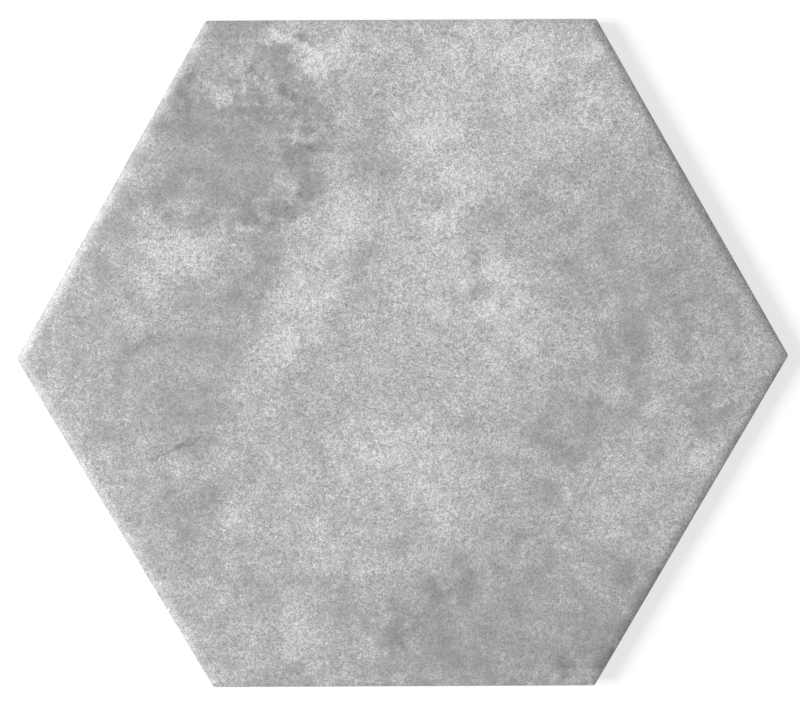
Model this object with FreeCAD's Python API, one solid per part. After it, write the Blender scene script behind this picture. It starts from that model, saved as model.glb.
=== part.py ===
import FreeCAD
import Part

import math
import os

# A hexagonal floor tile of pressed and fired porcelain, in one piece, lying face up.
# The origin is the middle of its back, on the plane of the ribs that it rests on.
# +Z points up through the face, +X to a corner and +Y squarely through a side.
# Lengths are in millimetres and angles in degrees.

# The tile as a whole
ACROSS_FLATS = 250.0
THICKNESS = 9.0
CORNER_RADIUS = 1.2

# The cushioned arris between the face and the sides. Its fullness shapes the section: 1 is a
# quarter of an ellipse and 2 a parabola, which leaves a crisper rim.
CUSHION_RUN = 5.2
CUSHION_DROP = 1.2
CUSHION_FULLNESS = 1.7
CUSHION_SECTIONS = 10

# The sides: an upright land, a wall that leans in towards the back, and a bevelled foot
LAND_HEIGHT = 3.6
WALL_DRAFT = 5.0
FOOT_BEVEL = 0.8

# The key on the back: a honeycomb of shallow pockets inside a plain rim. The pockets have sharp
# corners, because the grooves that press the ribs are milled straight.
RIM_WIDTH = 9.6
POCKET_PITCH = 22.0
RIB_WIDTH = 3.0
POCKET_DEPTH = 0.8
POCKET_DRAFT = 32.0
SMALLEST_POCKET_SHARE = 0.2

# How far a pocket's cutter starts below the back, so that it cuts cleanly
CUTTER_OVERSHOOT = 0.5

# Corners of an outline nearer than this are one corner
SAME_POINT = 0.001

LAND_TOP = THICKNESS - CUSHION_DROP
LAND_FOOT = LAND_TOP - LAND_HEIGHT
WALL_INSET = (LAND_FOOT - FOOT_BEVEL) * math.tan(math.radians(WALL_DRAFT))
BACK_INSET = WALL_INSET + FOOT_BEVEL

NODE = "hexagon_tile"


def hexagon(apothem, first_corner_angle=0.0):
    """Corners of a regular hexagon about the origin, counterclockwise."""
    circumradius = apothem / math.cos(math.radians(30.0))
    angles = [math.radians(first_corner_angle + 60.0 * k) for k in range(6)]
    return [FreeCAD.Vector(circumradius * math.cos(a), circumradius * math.sin(a), 0.0) for a in angles]


def inward(start, end):
    """The unit normal of a side that points into a counterclockwise outline."""
    along = (end - start).normalize()
    return FreeCAD.Vector(-along.y, along.x, 0.0)


def sides(corners):
    """Each side of an outline as its two ends, the first one starting at corner 0."""
    return list(zip(corners, corners[1:] + corners[:1]))


def area(corners):
    """Area of a flat outline."""
    return sum(a.x * b.y - b.x * a.y for a, b in sides(corners)) / 2.0


def clipped(corners, keeper):
    """The part of one convex outline that lies inside another."""
    for side_start, side_end in sides(keeper):
        normal = inward(side_start, side_end)
        kept = []
        for a, b in sides(corners):
            depth_a = (a - side_start).dot(normal)
            depth_b = (b - side_start).dot(normal)
            if depth_a >= 0.0:
                kept.append(a)
            if depth_a * depth_b < 0.0:
                kept.append(a + (b - a) * (depth_a / (depth_a - depth_b)))
        corners = [a for a, b in sides(kept) if (b - a).Length > SAME_POINT]
        if len(corners) < 3:
            return []
    return corners


def inset(corners, distance):
    """A convex outline with every side moved inwards, or nothing where a side vanishes."""
    moved = []
    count = len(corners)
    for k, corner in enumerate(corners):
        before = inward(corners[k - 1], corner)
        after = inward(corner, corners[(k + 1) % count])
        moved.append(corner + (before + after) * (distance / (1.0 + before.dot(after))))
    for (old_a, old_b), (new_a, new_b) in zip(sides(corners), sides(moved)):
        if (old_b - old_a).dot(new_b - new_a) <= 0.0:
            return []
    return moved


def rounded_wire(corners, radius, height):
    """A closed outline at a height, with an arc at every corner."""
    lift = FreeCAD.Vector(0.0, 0.0, height)
    count = len(corners)
    arcs = []
    for k, corner in enumerate(corners):
        to_before = (corners[k - 1] - corner).normalize()
        to_after = (corners[(k + 1) % count] - corner).normalize()
        to_centre = (to_before + to_after).normalize()
        half_angle = to_before.getAngle(to_after) / 2.0
        tangent = radius / math.tan(half_angle)
        middle = corner + to_centre * (radius / math.sin(half_angle) - radius)
        arcs.append((corner + to_before * tangent + lift, middle + lift, corner + to_after * tangent + lift))
    edges = []
    for k, (start, middle, end) in enumerate(arcs):
        edges.append(Part.Arc(start, middle, end).toShape())
        edges.append(Part.LineSegment(end, arcs[(k + 1) % count][0]).toShape())
    return Part.Wire(edges)


def flat_face(corners):
    """The flat face inside an outline."""
    return Part.Face(Part.makePolygon(corners + corners[:1]))


def tile_outline(side_inset, height):
    """The tile's outline in plan at a height, its sides moved in by side_inset."""
    return rounded_wire(hexagon(ACROSS_FLATS / 2.0 - side_inset), CORNER_RADIUS, height)


def foot():
    """The bevelled foot round the back."""
    return Part.makeLoft([tile_outline(BACK_INSET, 0.0), tile_outline(WALL_INSET, FOOT_BEVEL)], True, True)


def drafted_wall():
    """The wall that leaves the mould easily, wider towards the land."""
    return Part.makeLoft([tile_outline(WALL_INSET, FOOT_BEVEL), tile_outline(0.0, LAND_FOOT)], True, True)


def land():
    """The upright band that faces the joint, the widest part of the tile."""
    return Part.Face(tile_outline(0.0, LAND_FOOT)).extrude(FreeCAD.Vector(0.0, 0.0, LAND_HEIGHT))


def cushion():
    """The arris and the flat face within it."""
    sections = []
    for step in range(CUSHION_SECTIONS + 1):
        turn = math.radians(90.0 * step / CUSHION_SECTIONS)
        side_inset = CUSHION_RUN * (1.0 - math.cos(turn))
        rise = CUSHION_DROP * math.sin(turn) ** CUSHION_FULLNESS
        sections.append(tile_outline(side_inset, LAND_TOP + rise))
    return Part.makeLoft(sections, True, False)


def pocket_lean(height):
    """How far a pocket's wall leans in over a height."""
    return height * math.tan(math.radians(POCKET_DRAFT))


def pocket_mouths():
    """Outlines of the pockets in the plane of the ribs, those that the rim cuts included."""
    field = hexagon(ACROSS_FLATS / 2.0 - BACK_INSET - RIM_WIDTH)
    cell = hexagon(POCKET_PITCH / 2.0, 30.0)
    whole = area(inset(cell, RIB_WIDTH / 2.0))
    row_step = POCKET_PITCH * math.cos(math.radians(30.0))
    reach = math.ceil(field[0].Length / row_step)
    mouths = []
    for row in range(-reach, reach + 1):
        for place in range(-2 * reach, 2 * reach + 1):
            centre = FreeCAD.Vector(POCKET_PITCH * (place + row / 2.0), row_step * row, 0.0)
            part_of_cell = clipped([centre + corner for corner in cell], field)
            mouth = inset(part_of_cell, RIB_WIDTH / 2.0)
            if area(mouth) > SMALLEST_POCKET_SHARE * whole and inset(mouth, pocket_lean(POCKET_DEPTH)):
                mouths.append(mouth)
    return mouths


def pocket(mouth):
    """The cutter for one pocket, flat-sided, with walls that lean in."""
    sink = FreeCAD.Vector(0.0, 0.0, -CUTTER_OVERSHOOT)
    rise = FreeCAD.Vector(0.0, 0.0, POCKET_DEPTH)
    below = [corner + sink for corner in inset(mouth, -pocket_lean(CUTTER_OVERSHOOT))]
    floor = [corner + rise for corner in inset(mouth, pocket_lean(POCKET_DEPTH))]
    walls = [flat_face([a, b, d, c]) for (a, b), (c, d) in zip(sides(below), sides(floor))]
    return Part.Solid(Part.Shell([flat_face(below[::-1]), flat_face(floor)] + walls))


def tile():
    """The whole tile: the pressed body less the pockets of its key."""
    body = foot().multiFuse([drafted_wall(), land(), cushion()])
    return body.cut([pocket(mouth) for mouth in pocket_mouths()])


def main():
    """Builds the tile and writes it out."""
    os.makedirs("parts", exist_ok=True)
    shape = tile().Solids[0]
    shape.exportStep(os.path.join("parts", NODE + ".step"))
    print(NODE, "valid", shape.isValid(), "volume", round(shape.Volume / 1000.0, 2), "cm3")
    print("pockets", len(pocket_mouths()), "faces", len(shape.Faces))


main()
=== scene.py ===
import math

import bpy
from mathutils import Matrix, Vector


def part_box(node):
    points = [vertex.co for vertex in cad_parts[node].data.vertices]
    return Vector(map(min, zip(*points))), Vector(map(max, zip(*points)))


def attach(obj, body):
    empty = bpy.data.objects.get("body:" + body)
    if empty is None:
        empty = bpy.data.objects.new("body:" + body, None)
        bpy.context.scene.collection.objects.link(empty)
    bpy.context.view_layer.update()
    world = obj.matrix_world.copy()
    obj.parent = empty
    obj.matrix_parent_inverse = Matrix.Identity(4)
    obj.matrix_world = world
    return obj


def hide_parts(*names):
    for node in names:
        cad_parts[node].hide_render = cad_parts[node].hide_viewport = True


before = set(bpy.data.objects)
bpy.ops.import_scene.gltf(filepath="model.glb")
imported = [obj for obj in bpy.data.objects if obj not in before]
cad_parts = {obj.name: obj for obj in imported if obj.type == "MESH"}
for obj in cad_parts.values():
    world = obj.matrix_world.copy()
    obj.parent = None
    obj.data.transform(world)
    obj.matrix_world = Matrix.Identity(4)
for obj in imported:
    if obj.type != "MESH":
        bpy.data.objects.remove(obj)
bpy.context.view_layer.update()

bl_info = {
    "name": "Hexagon floor tile",
    "version": (1, 0, 0),
    "blender": (4, 5, 0),
    "location": "3D View > Sidebar > Floor Tile",
    "description": "Makes a pressed hexagon floor tile with a cement-look glaze, and a plain studio round it",
    "category": "Object",
}

# The object is in metres and lies face up with the middle of its back at the origin.
# +X points to a corner and +Y squarely through a side.
NODE = "hexagon_tile"
LOWEST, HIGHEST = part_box(NODE)

MM = 0.001
COS30 = math.cos(math.radians(30.0))
WELD = 0.01 * MM


# Node trees

def feed(tree, socket, value):
    """Joins a socket to another one, or gives it a value of its own."""
    if isinstance(value, bpy.types.NodeSocket):
        tree.links.new(value, socket)
    else:
        socket.default_value = value


def put(tree, kind, inputs=None, **settings):
    """Adds a node with its settings, and feeds the inputs named by their name or place."""
    node = tree.nodes.new(kind)
    for name, value in settings.items():
        setattr(node, name, value)
    for key, value in (inputs or {}).items():
        feed(tree, node.inputs[key], value)
    return node


def maths(tree, operation, *values):
    """The result of one piece of arithmetic."""
    node = tree.nodes.new("ShaderNodeMath")
    node.operation = operation
    for socket, value in zip(node.inputs, values):
        feed(tree, socket, value)
    return node.outputs[0]


def vectors(tree, operation, *values, out="Vector", scale=None):
    """The result of one piece of arithmetic on vectors."""
    node = tree.nodes.new("ShaderNodeVectorMath")
    node.operation = operation
    for socket, value in zip(node.inputs, values):
        feed(tree, socket, value)
    if scale is not None:
        feed(tree, node.inputs["Scale"], scale)
    return node.outputs[out]


def joined_xyz(tree, x, y, z):
    """A vector from its three parts."""
    return put(tree, "ShaderNodeCombineXYZ", {0: x, 1: y, 2: z}).outputs[0]


def split_xyz(tree, vector):
    """The three parts of a vector."""
    return put(tree, "ShaderNodeSeparateXYZ", {0: vector}).outputs


def smooth_step(tree, value, low, high, at_low=0.0, at_high=1.0):
    """A soft step of a value between two bounds."""
    node = put(tree, "ShaderNodeMapRange", {0: value, 1: low, 2: high, 3: at_low, 4: at_high})
    node.interpolation_type = "SMOOTHSTEP"
    return node.outputs[0]


def new_group(name, kind, inputs, outputs):
    """An empty node group with its inputs and outputs, and the nodes that stand for them."""
    tree = bpy.data.node_groups.new(name, kind)
    for label, socket_kind in inputs:
        tree.interface.new_socket(label, in_out="INPUT", socket_type="NodeSocket" + socket_kind)
    for label, socket_kind in outputs:
        tree.interface.new_socket(label, in_out="OUTPUT", socket_type="NodeSocket" + socket_kind)
    return tree, tree.nodes.new("NodeGroupInput").outputs, tree.nodes.new("NodeGroupOutput").inputs


def use(tree, group, inputs=None):
    """A node that stands for a node group."""
    kind = "GeometryNodeGroup" if tree.bl_idname == "GeometryNodeTree" else "ShaderNodeGroup"
    node = tree.nodes.new(kind)
    node.node_tree = group
    for key, value in (inputs or {}).items():
        feed(tree, node.inputs[key], value)
    return node


def made_by(tree, name, values):
    """A plain mesh object at the origin, made by a tree from the values of its named inputs."""
    piece = bpy.data.objects.new(name, bpy.data.meshes.new(name + "_blank"))
    bpy.context.scene.collection.objects.link(piece)
    modifier = piece.modifiers.new("form", "NODES")
    modifier.node_group = tree
    for item in tree.interface.items_tree:
        if item.item_type == "SOCKET" and item.in_out == "INPUT" and item.name in values:
            modifier[item.identifier] = values[item.name]
    depsgraph = bpy.context.evaluated_depsgraph_get()
    mesh = bpy.data.meshes.new_from_object(piece.evaluated_get(depsgraph), depsgraph=depsgraph)
    piece.modifiers.clear()
    coats = [coat for coat in mesh.materials if coat]
    mesh.materials.clear()
    mesh.materials.append(coats[0])
    mesh.polygons.foreach_set("material_index", [0] * len(mesh.polygons))
    piece.data = mesh
    mesh.name = name
    return piece


# The trees that form the tile

def lattice_tree():
    """A flat hexagon of even triangular spacing, a corner on +X, from three slanted grids."""
    tree, given, result = new_group(
        "hexagon lattice", "GeometryNodeTree",
        [("Corner Distance", "Float"), ("Divisions", "Int")], [("Mesh", "Geometry")])
    points = maths(tree, "ADD", given["Divisions"], 1.0)
    grid = put(tree, "GeometryNodeMeshGrid", {"Size X": 1.0, "Size Y": 1.0, "Vertices X": points, "Vertices Y": points})
    place = vectors(tree, "ADD", tree.nodes.new("GeometryNodeInputPosition").outputs[0], (0.5, 0.5, 0.0))
    along, across, _ = split_xyz(tree, place)
    slant = joined_xyz(
        tree,
        maths(tree, "MULTIPLY_ADD", across, -0.5, along),
        maths(tree, "MULTIPLY", across, COS30), 0.0)
    slanted = put(tree, "GeometryNodeSetPosition", {
        "Geometry": grid.outputs["Mesh"], "Position": vectors(tree, "SCALE", slant, scale=given["Corner Distance"])})
    turn = maths(tree, "MULTIPLY", tree.nodes.new("GeometryNodeInputIndex").outputs[0], math.radians(120.0))
    three = put(tree, "GeometryNodePoints", {"Count": 3})
    copies = put(tree, "GeometryNodeInstanceOnPoints", {
        "Points": three.outputs[0], "Instance": slanted.outputs[0],
        "Rotation": put(tree, "FunctionNodeEulerToRotation", {0: joined_xyz(tree, 0.0, 0.0, turn)}).outputs[0]})
    real = put(tree, "GeometryNodeRealizeInstances", {0: copies.outputs[0]})
    welded = put(tree, "GeometryNodeMergeByDistance", {"Geometry": real.outputs[0], "Distance": WELD})
    tree.links.new(welded.outputs[0], result[0])
    return tree


def filleted_section(tree, count, place, radius):
    """A section line through the places of its points, its corners rounded by a radius."""
    line = put(tree, "GeometryNodeMeshLine", {"Count": count})
    bent = put(tree, "GeometryNodeSetPosition", {"Geometry": line.outputs[0], "Position": place})
    curve = put(tree, "GeometryNodeMeshToCurve", {"Mesh": bent.outputs[0]})
    fillet = put(tree, "GeometryNodeFilletCurve", {"Curve": curve.outputs[0]}, mode="POLY")
    feed(tree, fillet.inputs["Count"], 3)
    feed(tree, fillet.inputs["Radius"], radius)
    feed(tree, fillet.inputs["Limit Radius"], True)
    return fillet.outputs[0]


def edge_section_tree():
    """The section of the tile's edge, from the face round the arris and down the side to the back.
    X is how far it lies inside the tile's outline and Z its height."""
    tree, given, result = new_group(
        "edge section", "GeometryNodeTree",
        [("Thickness", "Float"), ("Arris Width", "Float"), ("Arris Drop", "Float"), ("Arris Divisions", "Int"),
         ("Arris Fullness", "Float"), ("Arris Rim", "Float"),
         ("Land Height", "Float"), ("Wall Draft", "Float"), ("Foot Bevel", "Float"), ("Edge Softness", "Float")],
        [("Section", "Geometry")])
    index = tree.nodes.new("GeometryNodeInputIndex").outputs[0]
    land_top = maths(tree, "SUBTRACT", given["Thickness"], given["Arris Drop"])
    land_foot = maths(tree, "SUBTRACT", land_top, given["Land Height"])
    wall_height = maths(tree, "SUBTRACT", land_foot, given["Foot Bevel"])
    wall_inset = maths(tree, "MULTIPLY", wall_height, maths(tree, "TANGENT", given["Wall Draft"]))
    back_inset = maths(tree, "ADD", wall_inset, given["Foot Bevel"])
    out = maths(tree, "MINIMUM", maths(tree, "DIVIDE", index, given["Arris Divisions"]), 1.0)
    rise = maths(tree, "SUBTRACT", 1.0, maths(tree, "POWER", out, given["Arris Fullness"]))
    arris = joined_xyz(
        tree,
        maths(tree, "MULTIPLY", given["Arris Width"], maths(tree, "SUBTRACT", 1.0, out)),
        0.0,
        maths(tree, "MULTIPLY_ADD", given["Arris Drop"], rise, land_top))
    below = put(tree, "GeometryNodeIndexSwitch", data_type="VECTOR")
    while len(below.index_switch_items) < 4:
        below.index_switch_items.new()
    feed(tree, below.inputs[0], maths(tree, "SUBTRACT", maths(tree, "SUBTRACT", index, given["Arris Divisions"]), 1.0))
    feed(tree, below.inputs[1], joined_xyz(tree, 0.0, 0.0, land_foot))
    feed(tree, below.inputs[2], joined_xyz(tree, wall_inset, 0.0, given["Foot Bevel"]))
    feed(tree, below.inputs[3], joined_xyz(tree, back_inset, 0.0, 0.0))
    feed(tree, below.inputs[4], joined_xyz(tree, maths(tree, "ADD", back_inset, 1.5 * MM), 0.0, 0.0))
    past_arris = put(tree, "FunctionNodeCompare", {0: index, 1: given["Arris Divisions"]}, operation="GREATER_THAN")
    place = put(tree, "GeometryNodeSwitch", input_type="VECTOR")
    feed(tree, place.inputs["Switch"], past_arris.outputs[0])
    feed(tree, place.inputs["False"], arris)
    feed(tree, place.inputs["True"], below.outputs[0])
    at_rim = put(tree, "FunctionNodeCompare", {0: index, 1: given["Arris Divisions"], "Epsilon": 0.1}, operation="EQUAL")
    radius = maths(tree, "MULTIPLY_ADD", given["Edge Softness"], past_arris.outputs[0],
                   maths(tree, "MULTIPLY", given["Arris Rim"], at_rim.outputs[0]))
    count = maths(tree, "ADD", given["Arris Divisions"], 5.0)
    tree.links.new(filleted_section(tree, count, place.outputs[0], radius), result[0])
    return tree


def grid_of_section(tree, section, around):
    """A grid with a row of points round the tile or pocket for each point of a section.
    Gives the mesh, the place along the row, the row and the section's point of each vertex."""
    size = put(tree, "GeometryNodeAttributeDomainSize", {0: section}, component="CURVE")
    rows = size.outputs["Point Count"]
    grid = put(tree, "GeometryNodeMeshGrid", {"Vertices X": rows, "Vertices Y": around})
    index = tree.nodes.new("GeometryNodeInputIndex").outputs[0]
    row = maths(tree, "FLOOR", maths(tree, "DIVIDE", maths(tree, "ADD", index, 0.5), around))
    column = maths(tree, "SUBTRACT", index, maths(tree, "MULTIPLY", row, around))
    at_row = put(tree, "GeometryNodeSampleIndex", data_type="FLOAT_VECTOR", domain="POINT")
    feed(tree, at_row.inputs["Geometry"], section)
    feed(tree, at_row.inputs["Value"], tree.nodes.new("GeometryNodeInputPosition").outputs[0])
    feed(tree, at_row.inputs["Index"], row)
    return grid.outputs["Mesh"], column, row, at_row.outputs[0]


def band_tree():
    """A band that carries a section round a hexagon with rounded corners. Its first row keeps sharp corners."""
    tree, given, result = new_group(
        "hexagon band", "GeometryNodeTree",
        [("Section", "Geometry"), ("Half Across", "Float"), ("Corner Radius", "Float"),
         ("Side Divisions", "Int"), ("Corner Divisions", "Int")], [("Mesh", "Geometry")])
    each_side = maths(tree, "ADD", given["Side Divisions"], given["Corner Divisions"])
    around = maths(tree, "MULTIPLY_ADD", each_side, 6.0, 1.0)
    mesh, column, row, point = grid_of_section(tree, given["Section"], around)
    side = maths(tree, "FLOOR", maths(tree, "DIVIDE", maths(tree, "ADD", column, 0.5), each_side))
    place = maths(tree, "SUBTRACT", column, maths(tree, "MULTIPLY", side, each_side))
    arc = maths(tree, "MINIMUM", maths(tree, "DIVIDE", place, given["Corner Divisions"]), 1.0)
    run = maths(tree, "DIVIDE", maths(tree, "SUBTRACT", place, given["Corner Divisions"]), given["Side Divisions"])
    run = maths(tree, "MAXIMUM", run, 0.0)
    start = maths(tree, "MULTIPLY", side, math.radians(60.0))
    end = maths(tree, "ADD", start, math.radians(60.0))
    from_corner = joined_xyz(tree, maths(tree, "COSINE", start), maths(tree, "SINE", start), 0.0)
    to_corner = joined_xyz(tree, maths(tree, "COSINE", end), maths(tree, "SINE", end), 0.0)
    core = put(tree, "ShaderNodeMix", {0: run, 4: from_corner, 5: to_corner}, data_type="VECTOR").outputs[1]
    facing = maths(tree, "MULTIPLY_ADD", arc, math.radians(60.0), maths(tree, "SUBTRACT", start, math.radians(30.0)))
    outward = joined_xyz(tree, maths(tree, "COSINE", facing), maths(tree, "SINE", facing), 0.0)
    radius = maths(tree, "MULTIPLY", given["Corner Radius"], maths(tree, "MINIMUM", row, 1.0))
    inset, _, height = split_xyz(tree, point)
    reach = maths(tree, "SUBTRACT", maths(tree, "SUBTRACT", given["Half Across"], inset), radius)
    flat = vectors(
        tree, "ADD", vectors(tree, "SCALE", core, scale=maths(tree, "DIVIDE", reach, COS30)),
        vectors(tree, "SCALE", outward, scale=radius))
    placed = put(tree, "GeometryNodeSetPosition", {
        "Geometry": mesh, "Position": vectors(tree, "ADD", flat, joined_xyz(tree, 0.0, 0.0, height))})
    tree.links.new(placed.outputs[0], result[0])
    return tree


def pocket_tree():
    """One shallow pocket of the key, open at the plane of the ribs. The rim cuts off its far part:
    Cuts is 0 for a whole pocket, 1 where one side of the rim cuts it and 2 where two sides do."""
    tree, given, result = new_group(
        "pocket", "GeometryNodeTree",
        [("Half Across", "Float"), ("Cuts", "Int"), ("Cut Distance", "Float"), ("Depth", "Float"),
         ("Draft", "Float"), ("Edge Softness", "Float")], [("Mesh", "Geometry")])
    position = tree.nodes.new("GeometryNodeInputPosition").outputs[0]
    circle = put(tree, "GeometryNodeMeshCircle", {
        "Vertices": 6, "Radius": maths(tree, "DIVIDE", given["Half Across"], COS30)})
    turned = put(tree, "GeometryNodeTransform", {
        "Geometry": circle.outputs[0], "Rotation": (0.0, 0.0, math.radians(30.0))})

    beyond = []
    for number, angle in enumerate((30.0, -30.0)):
        towards = (math.cos(math.radians(angle)), math.sin(math.radians(angle)), 0.0)
        past = maths(tree, "SUBTRACT", vectors(tree, "DOT_PRODUCT", position, towards, out="Value"), given["Cut Distance"])
        used = maths(tree, "GREATER_THAN", given["Cuts"], number + 0.5)
        past = maths(tree, "MULTIPLY", maths(tree, "MAXIMUM", past, 0.0), used)
        beyond.append((past, vectors(tree, "SCALE", towards, scale=past)))
    moved = vectors(tree, "SUBTRACT", vectors(tree, "SUBTRACT", position, beyond[0][1]), beyond[1][1])
    past_both = maths(tree, "GREATER_THAN", maths(tree, "MULTIPLY", beyond[0][0], beyond[1][0]), 0.0)
    meeting = joined_xyz(tree, maths(tree, "DIVIDE", given["Cut Distance"], COS30), 0.0, 0.0)
    cut_place = put(tree, "ShaderNodeMix", {0: past_both, 4: moved, 5: meeting}, data_type="VECTOR").outputs[1]
    cut = put(tree, "GeometryNodeSetPosition", {"Geometry": turned.outputs[0], "Position": cut_place})
    mouth = put(tree, "GeometryNodeMergeByDistance", {"Geometry": cut.outputs[0], "Distance": WELD}).outputs[0]
    corners = put(tree, "GeometryNodeAttributeDomainSize", {0: mouth}, component="MESH").outputs["Point Count"]

    index = tree.nodes.new("GeometryNodeInputIndex").outputs[0]

    def at_corner(value, place):
        """A value at one corner of the mouth, counted round it."""
        node = put(tree, "GeometryNodeSampleIndex", data_type="FLOAT_VECTOR", domain="POINT")
        feed(tree, node.inputs["Geometry"], mouth)
        feed(tree, node.inputs["Value"], value)
        feed(tree, node.inputs["Index"], maths(tree, "FLOORED_MODULO", place, corners))
        return node.outputs[0]

    def inward(start, stop):
        """The unit normal of a side that points into the mouth."""
        along = vectors(tree, "NORMALIZE", vectors(tree, "SUBTRACT", stop, start))
        x, y, _ = split_xyz(tree, along)
        return joined_xyz(tree, maths(tree, "MULTIPLY", y, -1.0), x, 0.0)

    before = inward(at_corner(position, maths(tree, "SUBTRACT", index, 1.0)), position)
    after = inward(position, at_corner(position, maths(tree, "ADD", index, 1.0)))
    share = maths(tree, "ADD", 1.0, vectors(tree, "DOT_PRODUCT", before, after, out="Value"))
    bisector = vectors(tree, "SCALE", vectors(tree, "ADD", before, after), scale=maths(tree, "DIVIDE", 1.0, share))

    lean = maths(tree, "MULTIPLY", given["Depth"], maths(tree, "TANGENT", given["Draft"]))
    lip = maths(tree, "MULTIPLY", given["Edge Softness"], 0.8)
    section_place = put(tree, "GeometryNodeIndexSwitch", data_type="VECTOR")
    while len(section_place.index_switch_items) < 4:
        section_place.index_switch_items.new()
    feed(tree, section_place.inputs[0], index)
    feed(tree, section_place.inputs[1], joined_xyz(tree, maths(tree, "MULTIPLY", lip, -1.0), 0.0, 0.0))
    feed(tree, section_place.inputs[2], (0.0, 0.0, 0.0))
    feed(tree, section_place.inputs[3], joined_xyz(tree, lean, 0.0, given["Depth"]))
    feed(tree, section_place.inputs[4], joined_xyz(tree, maths(tree, "ADD", lean, lip), 0.0, given["Depth"]))
    section = filleted_section(tree, 4, section_place.outputs[0], given["Edge Softness"])

    around = maths(tree, "ADD", corners, 1.0)
    mesh, column, row, point = grid_of_section(tree, section, around)
    inset, _, height = split_xyz(tree, point)
    flat = vectors(
        tree, "ADD", at_corner(position, column),
        vectors(tree, "SCALE", at_corner(bisector, column), scale=inset))
    placed = put(tree, "GeometryNodeSetPosition", {
        "Geometry": mesh, "Position": vectors(tree, "ADD", flat, joined_xyz(tree, 0.0, 0.0, height))})
    wall = put(tree, "GeometryNodeMergeByDistance", {"Geometry": placed.outputs[0], "Distance": WELD})

    height_here = split_xyz(tree, position)[2]
    at_floor = maths(tree, "GREATER_THAN", height_here, maths(tree, "SUBTRACT", given["Depth"], 0.001 * MM))
    faces = tree.nodes.new("GeometryNodeInputMeshEdgeNeighbors").outputs[0]
    free = maths(tree, "LESS_THAN", faces, 1.5)
    ring = put(tree, "GeometryNodeMeshToCurve", {
        "Mesh": wall.outputs[0], "Selection": maths(tree, "MULTIPLY", at_floor, free)})
    floor = put(tree, "GeometryNodeFillCurve", {"Curve": ring.outputs[0]}, mode="NGONS")
    raised = put(tree, "GeometryNodeTransform", {
        "Geometry": put(tree, "GeometryNodeFlipFaces", {"Mesh": floor.outputs[0]}).outputs[0],
        "Translation": joined_xyz(tree, 0.0, 0.0, given["Depth"])})
    both = put(tree, "GeometryNodeJoinGeometry")
    tree.links.new(raised.outputs[0], both.inputs[0])
    tree.links.new(wall.outputs[0], both.inputs[0])
    tree.links.new(both.outputs[0], result[0])
    return tree


def key_tree(lattice, pocket):
    """All the pockets of the back: whole ones, halves along each side of the rim and cut ones at its corners."""
    tree, given, result = new_group(
        "back key", "GeometryNodeTree",
        [("Field Half Across", "Float"), ("Pocket Pitch", "Float"), ("Rib Width", "Float"),
         ("Pocket Depth", "Float"), ("Pocket Draft", "Float"), ("Edge Softness", "Float")],
        [("Mesh", "Geometry")])
    half_rib = maths(tree, "MULTIPLY", given["Rib Width"], 0.5)
    half_mouth = maths(tree, "SUBTRACT", maths(tree, "MULTIPLY", given["Pocket Pitch"], 0.5), half_rib)
    rings = maths(tree, "ROUND", maths(
        tree, "DIVIDE", given["Field Half Across"], maths(tree, "MULTIPLY", given["Pocket Pitch"], COS30)))
    reach = maths(tree, "MULTIPLY", rings, given["Pocket Pitch"])
    last_row = maths(tree, "MULTIPLY", reach, COS30)
    cut = maths(tree, "SUBTRACT", maths(tree, "SUBTRACT", given["Field Half Across"], half_rib), last_row)
    places = use(tree, lattice, {"Corner Distance": reach, "Divisions": rings}).outputs[0]

    position = tree.nodes.new("GeometryNodeInputPosition").outputs[0]
    x, y, _ = split_xyz(tree, position)
    angle = maths(tree, "ARCTAN2", y, x)
    sixth = math.radians(60.0)
    nearest_side = maths(tree, "MULTIPLY", maths(tree, "FLOOR", maths(tree, "DIVIDE", angle, sixth)), sixth)
    nearest_corner = maths(tree, "MULTIPLY", maths(tree, "ROUND", maths(tree, "DIVIDE", angle, sixth)), sixth)
    off_side = maths(tree, "SUBTRACT", angle, maths(tree, "ADD", nearest_side, math.radians(30.0)))
    far = maths(tree, "MULTIPLY", vectors(tree, "LENGTH", position, out="Value"), maths(tree, "COSINE", off_side))
    slack = maths(tree, "MULTIPLY", given["Pocket Pitch"], 0.25)
    outer = maths(tree, "GREATER_THAN", far, maths(tree, "SUBTRACT", last_row, slack))
    corner = maths(
        tree, "GREATER_THAN", vectors(tree, "LENGTH", position, out="Value"), maths(tree, "SUBTRACT", reach, slack))
    edge = maths(tree, "SUBTRACT", outer, corner)
    whole = maths(tree, "SUBTRACT", 1.0, outer)

    gathered = put(tree, "GeometryNodeJoinGeometry")
    for cuts, chosen, turn in ((0, whole, 0.0), (1, edge, nearest_side), (2, corner, nearest_corner)):
        cup = use(tree, pocket, {
            "Half Across": half_mouth, "Cuts": cuts, "Cut Distance": cut, "Depth": given["Pocket Depth"],
            "Draft": given["Pocket Draft"], "Edge Softness": given["Edge Softness"]})
        copies = put(tree, "GeometryNodeInstanceOnPoints", {
            "Points": places, "Selection": chosen, "Instance": cup.outputs[0],
            "Rotation": put(tree, "FunctionNodeEulerToRotation", {0: joined_xyz(tree, 0.0, 0.0, turn)}).outputs[0]})
        tree.links.new(copies.outputs[0], gathered.inputs[0])
    real = put(tree, "GeometryNodeRealizeInstances", {0: gathered.outputs[0]})
    tree.links.new(real.outputs[0], result[0])
    return tree


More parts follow.
